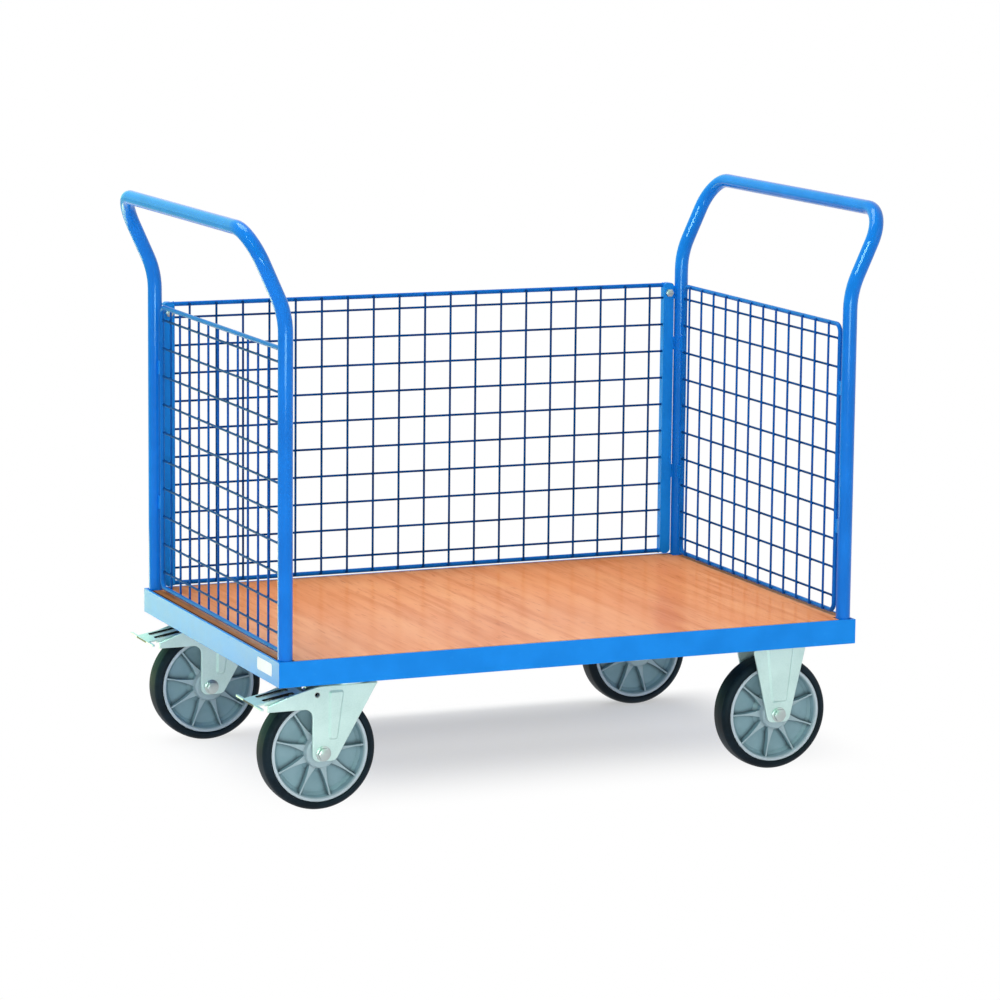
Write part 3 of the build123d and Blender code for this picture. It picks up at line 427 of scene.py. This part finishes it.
# cuts the corners of a hexagon block back to a cone, at its top or its bottom
def chamferCorners(mesh, halfFlats, level, way):
    for cut in range(hexForm["cuts"]):
        turn = math.tau * cut / hexForm["cuts"]
        outward = Vector((math.cos(turn), math.sin(turn), 0))
        tilt = Vector((0, 0, way * math.cos(hexForm["slope"])))
        found = bmesh.ops.bisect_plane(
            mesh, geom=mesh.verts[:] + mesh.edges[:] + mesh.faces[:], dist=hexForm["cutMerge"],
            clear_outer=True, plane_co=outward * halfFlats * hexForm["cutFrom"] + Vector((0, 0, level)),
            plane_no=outward * math.sin(hexForm["slope"]) + tilt)
        rim = [part for part in found["geom_cut"] if isinstance(part, bmesh.types.BMEdge)]
        if len(rim) > 2:
            bmesh.ops.contextual_create(mesh, geom=rim)


# hexagon block from 0 to the height, corners towards local X, with a bore if asked for
def hexBlock(mesh, halfFlats, height, bore=0):
    toX = Matrix.Rotation(math.pi / 6, 4, "Z")
    radius = halfFlats / hexForm["toCorner"]
    outer = bmesh.ops.create_circle(mesh, segments=6, radius=radius, matrix=toX)["verts"]
    rim = list({edge for vert in outer for edge in vert.link_edges})
    if bore:
        sides = hexForm["boreSides"]
        bmesh.ops.subdivide_edges(mesh, edges=rim, cuts=sides // 6 - 1)
        rim = mesh.edges[:]
        inner = bmesh.ops.create_circle(mesh, segments=sides, radius=bore, matrix=toX)["verts"]
        hole = list({edge for vert in inner for edge in vert.link_edges})
        faces = bmesh.ops.bridge_loops(mesh, edges=rim + hole)["faces"]
    else:
        faces = bmesh.ops.contextual_create(mesh, geom=rim)["faces"]
    raised = bmesh.ops.extrude_face_region(mesh, geom=faces, use_keep_orig=True)["geom"]
    lifted = [part for part in raised if isinstance(part, bmesh.types.BMVert)]
    bmesh.ops.translate(mesh, verts=lifted, vec=(0, 0, height))
    bmesh.ops.recalc_face_normals(mesh, faces=mesh.faces)


threadForm = {"endShare": 0.6, "valleyShare": 0.5, "shankSteps": 24, "flangeLip": 1.2 * mm,
              "flangeHeight": 2 * mm, "flangeSteps": 36}


# a bolt with its head on local +Z and its threaded shank below
def makeBolt(size):
    mesh = bmesh.new()
    hexBlock(mesh, size["halfFlats"], size["head"])
    chamferCorners(mesh, size["halfFlats"], size["head"], 1)
    if "flange" in size:
        flange, lip, top = size["flange"], threadForm["flangeLip"], threadForm["flangeHeight"]
        plate = [(0, 0), (flange, 0), (flange, lip), (flange - lip, top), (0, top)]
        turnProfile(mesh, plate, threadForm["flangeSteps"])
    radius, pitch, end = size["radius"], size["pitch"], -size["length"]
    valley = radius - pitch * threadForm["valleyShare"]
    shank = [(0, end), (radius - pitch * threadForm["endShare"], end)]
    for tooth in range(size["teeth"]):
        shank += [(radius, end + (tooth + 0.5) * pitch), (valley, end + (tooth + 1) * pitch)]
    shank += [(radius, end + (size["teeth"] + 0.5) * pitch), (radius, 0), (0, 0)]
    turnProfile(mesh, shank, threadForm["shankSteps"])
    return mesh


# a plain nut that stands on local Z
def makeNut(size):
    mesh = bmesh.new()
    hexBlock(mesh, size["halfFlats"], size["nut"], size["radius"])
    chamferCorners(mesh, size["halfFlats"], size["nut"], 1)
    chamferCorners(mesh, size["halfFlats"], 0, -1)
    return mesh


# copies of one shape, one for each placing
def scatter(shape, placings):
    data = bpy.data.meshes.new("shape")
    shape.to_mesh(data)
    shape.free()
    spread = bmesh.new()
    for placing in placings:
        copy = data.copy()
        copy.transform(placing)
        spread.from_mesh(copy)
        bpy.data.meshes.remove(copy)
    bpy.data.meshes.remove(data)
    return spread


axleSize = {"halfFlats": 9.5 * mm, "head": 7.5 * mm, "nut": 10 * mm, "radius": 6 * mm, "pitch": 1.75 * mm,
            "teeth": 8, "length": 85.5 * mm, "flange": 13 * mm, "pastNut": 1.5 * mm}
castorSize = {"halfFlats": 8 * mm, "head": 6.4 * mm, "nut": 8 * mm, "radius": 5 * mm, "pitch": 1.5 * mm,
              "teeth": 7, "length": 19.5 * mm}
wallSize = {"halfFlats": 6.5 * mm, "head": 5.3 * mm, "nut": 6.5 * mm, "radius": 4 * mm, "pitch": 1.25 * mm,
            "teeth": 6, "length": 13 * mm}
toFront, toBack = Matrix.Rotation(math.pi / 2, 4, "X"), Matrix.Rotation(-math.pi / 2, 4, "X")
upward, downward = Matrix.Identity(4), Matrix.Rotation(math.pi, 4, "X")


def addFasteners(boltNode, nutNode, body, size, heads, seats, headTurn, nutTurn):
    bolts = scatter(makeBolt(size), [Matrix.Translation(head) @ headTurn for head in heads])
    nuts = scatter(makeNut(size), [Matrix.Translation(seat) @ nutTurn for seat in seats])
    addPiece(boltNode + "_cut", bolts, brightSteel, body, boltNode)
    addPiece(nutNode + "_cut", nuts, brightSteel, body, nutNode)


# axle bolts have their heads at the front of each wheel
def axlePlaces(wheels):
    half = (axleSize["length"] - axleSize["nut"] - axleSize["pastNut"]) / 2
    axles = [middle(corner + "_tyre") for corner in wheels]
    return [axle + Vector((0, -half, 0)) for axle in axles], [axle + Vector((0, half, 0)) for axle in axles]


for corner in swivelCorners:
    addFasteners(corner + "_axle_bolt", corner + "_axle_nut", corner + "_castor", axleSize,
                 *axlePlaces([corner]), toFront, toBack)
addFasteners("fixed_axle_bolts", "fixed_axle_nuts", "platform", axleSize,
             *axlePlaces(fixedCorners), toFront, toBack)

# four bolts through each castor plate
plateHoles = {"length": 105 * mm, "width": 80 * mm}
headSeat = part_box("castor_bolts")[1].z - castorSize["head"]
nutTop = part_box("castor_nuts")[1].z
holes = []
for plate in ("front_left_castor_plate", "back_left_castor_plate", "front_right_fork", "back_right_fork"):
    centre = middle(plate)
    for sideways in (-1, 1):
        for depthways in (-1, 1):
            offset = Vector((sideways * plateHoles["length"], depthways * plateHoles["width"], 0)) / 2
            holes.append(Vector((centre.x, centre.y, 0)) + offset)
addFasteners("castor_bolts", "castor_nuts", "platform", castorSize,
             [hole + Vector((0, 0, headSeat)) for hole in holes],
             [hole + Vector((0, 0, nutTop)) for hole in holes], upward, downward)

# one bolt at the top of each channel of the back wall
boltLow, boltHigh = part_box("back_wall_bolts")
spread = (boltHigh.x - boltLow.x) / 2 - wallSize["halfFlats"] / hexForm["toCorner"]
level = (boltLow.z + boltHigh.z) / 2
headFace, nutFace = boltLow.y + wallSize["head"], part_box("back_wall_nuts")[0].y
addFasteners("back_wall_bolts", "back_wall_nuts", "platform", wallSize,
             [Vector((side * spread, headFace, level)) for side in (-1, 1)],
             [Vector((side * spread, nutFace, level)) for side in (-1, 1)], toFront, toBack)
print("bolts and nuts cut")


def evenly(low, high, count):
    return [low + (high - low) * step / (count - 1) for step in range(count)]


# one round drop of weld metal, to be squeezed where it is laid
def weldDrop():
    mesh = bmesh.new()
    bmesh.ops.create_uvsphere(mesh, u_segments=8, v_segments=4, radius=1)
    return mesh


def dropAt(place, radii):
    return Matrix.Translation(place) @ Matrix.Diagonal((*radii, 1))


# resistance welds where the wires cross each other, the rods and the edges of the wall
nuggets = {"wire": 2 * mm, "rod": 4 * mm, "rows": 10, "thin": 1.5 * mm, "wide": 2.7 * mm,
           "columns": {"left": 12, "right": 12, "back": 19}}
for wall, columnCount in nuggets["columns"].items():
    uprightLow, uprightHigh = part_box(wall + "_wall_uprights")
    crossLow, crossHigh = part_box(wall + "_wall_cross_wires")
    rodLow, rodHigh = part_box(wall + "_wall_frame")
    run, through = (0, 1) if wall == "back" else (1, 0)
    contact = (uprightLow[through] + uprightHigh[through] + crossLow[through] + crossHigh[through]) / 4
    columns = evenly(uprightLow[run] + nuggets["wire"], uprightHigh[run] - nuggets["wire"], columnCount)
    rows = evenly(crossLow.z + nuggets["wire"], crossHigh.z - nuggets["wire"], nuggets["rows"])
    rodLevels = [rodLow.z + nuggets["rod"], rodHigh.z - nuggets["rod"]]
    radii, endRadii = [nuggets["wide"]] * 3, [nuggets["wide"]] * 3
    radii[through] = nuggets["thin"]
    endRadii[run] = nuggets["thin"]
    inset = 0 if wall == "back" else nuggets["rod"]
    drops = []
    for row in rows + rodLevels:
        for column in columns:
            place = Vector((0, 0, row))
            place[run], place[through] = column, contact
            drops.append(dropAt(place, radii))
    for row in rows:
        for end in (crossLow[run] + inset, crossHigh[run] - inset):
            place = Vector((0, 0, row))
            place[run], place[through] = end, (crossLow[through] + crossHigh[through]) / 2
            drops.append(dropAt(place, endRadii))
    addPiece(wall + "_wall_nuggets", scatter(weldDrop(), drops), wireShadedPaint, "platform")


# beads on the tabs that carry the walls, round the rod ends and under the ledges; faces as (x, y) in mm
beads = {"tabRadius": 1.3 * mm, "tabHeights": (425 * mm, 666 * mm), "boltedHeight": 761 * mm,
         "tabHalf": 11 * mm, "tabFaces": ((508.4, 320.9), (512.6, 320), (508.4, 309.7), (512.6, 309.7)),
         "earFaces": ((501.9, 335.5), (501.9, 331.6)), "ringRadius": 1.1 * mm, "ringDrops": 14,
         "rodRadius": 4 * mm, "ledgeRadius": 1.8 * mm, "ledgeThickness": 4 * mm, "ledgeFrom": 315 * mm,
         "ledgeOff": 0.4 * mm, "ledgeShort": 2 * mm, "spacing": 1.1, "swell": 0.12, "swellStep": 2.4,
         "swellShift": 900}


# a hand-laid bead: drops in a row between two points
def bead(start, end, radius):
    start, end = Vector(start), Vector(end)
    count = max(2, round((end - start).length / (radius * beads["spacing"])))
    for step in range(count):
        wave = math.sin(step * beads["swellStep"] + start.x * beads["swellShift"])
        swell = radius * (1 + beads["swell"] * wave)
        yield dropAt(start.lerp(end, step / (count - 1)), (swell, swell, swell))


tabHeights = beads["tabHeights"]
earHeights = (*tabHeights, beads["boltedHeight"])
uprightBeads = [(x, end * y, height)
                for x, y in beads["tabFaces"] for end in (-1, 1) for height in tabHeights]
uprightBeads += [(x, y, height) for x, y in beads["earFaces"] for height in earHeights]
drops = []
for side in (-1, 1):
    for x, y, height in uprightBeads:
        foot = Vector((side * x * mm, y * mm, height - beads["tabHalf"]))
        drops += bead(foot, foot + Vector((0, 0, 2 * beads["tabHalf"])), beads["tabRadius"])
rodLow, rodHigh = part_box("back_wall_frame")
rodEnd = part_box("back_wall_cross_wires")[1].x
for side in (-1, 1):
    for level in (rodLow.z + beads["rodRadius"], rodHigh.z - beads["rodRadius"]):
        centre = Vector((side * rodEnd, (rodLow.y + rodHigh.y) / 2, level))
        for drop in range(beads["ringDrops"]):
            turn = math.tau * drop / beads["ringDrops"]
            rim = Vector((0, math.cos(turn), math.sin(turn))) * beads["rodRadius"]
            drops.append(dropAt(centre + rim, (beads["ringRadius"],) * 3))
for bearer in ("left_castor_bearer", "right_castor_bearer"):
    low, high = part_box(bearer)
    ledge = high.z - beads["ledgeThickness"]
    for x in (low.x - beads["ledgeOff"], high.x + beads["ledgeOff"]):
        for end in (-1, 1):
            inner = (x, end * beads["ledgeFrom"], ledge)
            outer = (x, end * (high.y - beads["ledgeShort"]), ledge)
            drops += bead(inner, outer, beads["ledgeRadius"])
addPiece("weld_beads", scatter(weldDrop(), drops), bluePaint, "platform")
print("welds laid")


# white film, a little yellowed in patches
def makeFilm(settings):
    finish = Finish(bpy.data.materials.new("labelFilm"))
    patch = finish.noise(**settings["patchNoise"])
    tone = finish.mix(finish.span(patch, *settings["patchSpan"]), settings["white"], settings["aged"])
    return finish.show(finish.principled(
        Base_Color=tone, Roughness=settings["roughness"] + patch * settings["patchRough"],
        IOR=settings["ior"]))


# the label near the front end of the left rail is blank
filmLabel = {"thickness": 0.2 * mm, "length": 70 * mm, "height": 21 * mm, "corner": 2 * mm, "cornerSteps": 4,
             "fromEnd": 34 * mm, "fromTop": 9 * mm, "patchNoise": {"scale": 60, "detail": 3},
             "patchSpan": (0.35, 0.7), "patchRough": 0.1, "white": (0.86, 0.9, 1),
             "aged": (0.83, 0.86, 0.94), "roughness": 0.4, "ior": 1.3}
low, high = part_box("left_rail")
thickness, length, height = filmLabel["thickness"], filmLabel["length"], filmLabel["height"]
centre = Vector((low.x - thickness / 2, low.y + filmLabel["fromEnd"] + length / 2,
                 high.z - filmLabel["fromTop"] - height / 2))
film = bmesh.new()
bmesh.ops.create_cube(film, size=1, matrix=dropAt(centre, (thickness, length, height)))
cornerEdges = [edge for edge in film.edges
               if abs(edge.verts[0].co.x - edge.verts[1].co.x) > thickness / 2]
bmesh.ops.bevel(film, geom=cornerEdges, offset=filmLabel["corner"], segments=filmLabel["cornerSteps"],
                affect="EDGES")
addPiece("blank_label", film, makeFilm(filmLabel), "platform")
print("label stuck on")

# floor and sky; a painted reflection: glossy rays alone meet teal at the back left
studio = {"floorSize": 24, "floorCuts": 8, "floorTone": (0.92, 0.92, 0.92), "floorRough": 0.85,
          "floorShine": 0.1, "fibreScale": 6, "fibreRough": 0.1, "frontShade": 0.42, "backShade": 0.12,
          "frontFade": (-0.36, 0.02), "backFade": (0.05, 0.25), "backEdge": (0.3, 0.37),
          "leftFade": (-0.62, -0.2), "rightFade": (0.45, 0.66), "worldStrength": 0.46,
          "tealFrom": (0.35, 0), "tealTone": (0.38, 1, 0.66), "tealStrength": 1.6, "tealLeft": (-0.5, -1.1),
          "tealBack": (0.4, 1)}
floorMesh = bmesh.new()
bmesh.ops.create_grid(floorMesh, x_segments=studio["floorCuts"], y_segments=studio["floorCuts"],
                      size=studio["floorSize"] / 2)
floorData = bpy.data.meshes.new("floor")
floorMesh.to_mesh(floorData)
floorMesh.free()
floor = bpy.data.objects.new("floor", floorData)
bpy.context.scene.collection.objects.link(floor)


# paper floor that shows its shade under the platform and turns into plain white around it
def makePaper(settings):
    finish = Finish(bpy.data.materials.new("paperFloor"))
    fibre = finish.noise(settings["fibreScale"])
    paper = finish.principled(
        Base_Color=settings["floorTone"], Roughness=settings["floorRough"] + fibre * settings["fibreRough"],
        Specular_IOR_Level=settings["floorShine"])
    across, depth = finish.along("X"), finish.along("Y")
    # painted reflection: the floor glows teal for glossy rays at the back left
    leftBack = finish.span(across, *settings["tealLeft"]) * finish.span(depth, *settings["tealBack"])
    mirrorTone = finish.mix(finish.rays("Is Glossy Ray") * leftBack, white, settings["tealTone"])
    glow = finish.node("ShaderNodeEmission", None, {"Color": mirrorTone, "Strength": 1})
    shade = finish.span(depth, *settings["frontFade"]) * settings["frontShade"]
    shade = shade + finish.span(depth, *settings["backFade"]) * settings["backShade"]
    shade = shade * finish.span(depth, *settings["backEdge"], 1, 0)
    shade = shade * finish.span(across, *settings["leftFade"])
    shade = shade * finish.span(across, *settings["rightFade"], 1, 0)
    mirrored = finish.rays("Is Glossy Ray", "Is Transmission Ray")
    glowing = finish.rays("Is Camera Ray") * (1 - shade) + mirrored
    return finish.show(finish.blendShaders(glowing, paper, glow))


floorData.materials.append(makePaper(studio))
sky = Finish(bpy.data.worlds.new("studio"), "ShaderNodeOutputWorld")


def plainSky(tone, strength):
    return sky.node("ShaderNodeBackground", None, {"Color": tone, "Strength": strength})


# lights the trolley softly, and looks bright to the camera and in reflections
# painted reflection: leftward, glossy rays meet a teal sky
leftward = sky.span(sky.along("X"), *studio["tealFrom"])
tealSky = plainSky(studio["tealTone"], studio["tealStrength"])
brightSky = sky.blendShaders(sky.rays("Is Glossy Ray") * leftward, plainSky(white, 1), tealSky)
seen = sky.rays("Is Camera Ray", "Is Glossy Ray", "Is Transmission Ray")
softSky = plainSky(white, studio["worldStrength"])
bpy.context.scene.world = sky.show(sky.blendShaders(seen, softSky, brightSky))

# the strip draws the highlight lines on the bows, the sheen lies behind the left rail
lamps = {"key": {"place": (-1.0, 0.9, 3.9), "aim": (0, 0, 0.3), "size": (2.2, 2.2), "power": 86},
         "front": {"place": (2.4, -4.2, 2.4), "aim": (0, 0, 0.4), "size": (2.6, 2.6), "power": 16},
         "fill": {"place": (-2.0, -5, 0.48), "aim": (0, 0, 0.3), "size": (2.5, 0.9), "power": 76},
         "strip": {"place": (-2.97, -1.93, 3), "aim": (0.55, 0, 0.9), "size": (2.6, 0.14), "power": 28,
                   "turn": -10.7},
         "sheen": {"place": (-1.15, 1.35, 0.02), "aim": (-1.15, 1.35, 1), "size": (0.7, 1.6), "power": 16.5,
                   "tint": (0.98, 1, 0.3)}}
for lampName, lamp in lamps.items():
    light = bpy.data.lights.new(lampName + "Lamp", "AREA")
    light.shape = "RECTANGLE"
    light.size, light.size_y = lamp["size"]
    light.energy = lamp["power"]
    light.color = lamp.get("tint", white)
    holder = bpy.data.objects.new(lampName + "Lamp", light)
    holder.visible_camera = False
    bpy.context.scene.collection.objects.link(holder)
    aim = Vector(lamp["aim"]) - Vector(lamp["place"])
    facing = aim.to_track_quat("-Z", "Y").to_matrix().to_4x4()
    turn = Matrix.Rotation(math.radians(lamp.get("turn", 0)), 4, "Z")
    holder.matrix_world = Matrix.Translation(lamp["place"]) @ facing @ turn

viewpoint = {"azimuth": -23.306, "elevation": 9.351, "roll": 0.586, "distance": 7.128,
             "target": (0.0083, 0, 0.4675), "sensor": 36, "lens": 146.54, "shiftY": -0.0101}
cameraData = bpy.data.cameras.new("camera")
cameraData.sensor_width = viewpoint["sensor"]
cameraData.lens = viewpoint["lens"]
cameraData.shift_y = viewpoint["shiftY"]
camera = bpy.data.objects.new("camera", cameraData)
bpy.context.scene.collection.objects.link(camera)
swing, rise = math.radians(viewpoint["azimuth"]), math.radians(viewpoint["elevation"])
backward = Vector((math.sin(swing) * math.cos(rise), -math.cos(swing) * math.cos(rise), math.sin(rise)))
rightward = Vector((0, 0, 1)).cross(backward).normalized()
topward = backward.cross(rightward)
facing = Matrix((rightward, topward, backward)).transposed().to_4x4()
roll = Matrix.Rotation(math.radians(viewpoint["roll"]), 4, "Z")
eye = Vector(viewpoint["target"]) + backward * viewpoint["distance"]
camera.matrix_world = Matrix.Translation(eye) @ facing @ roll
bpy.context.scene.camera = camera
bpy.context.scene.view_settings.view_transform = "Standard"
print("studio and camera placed")
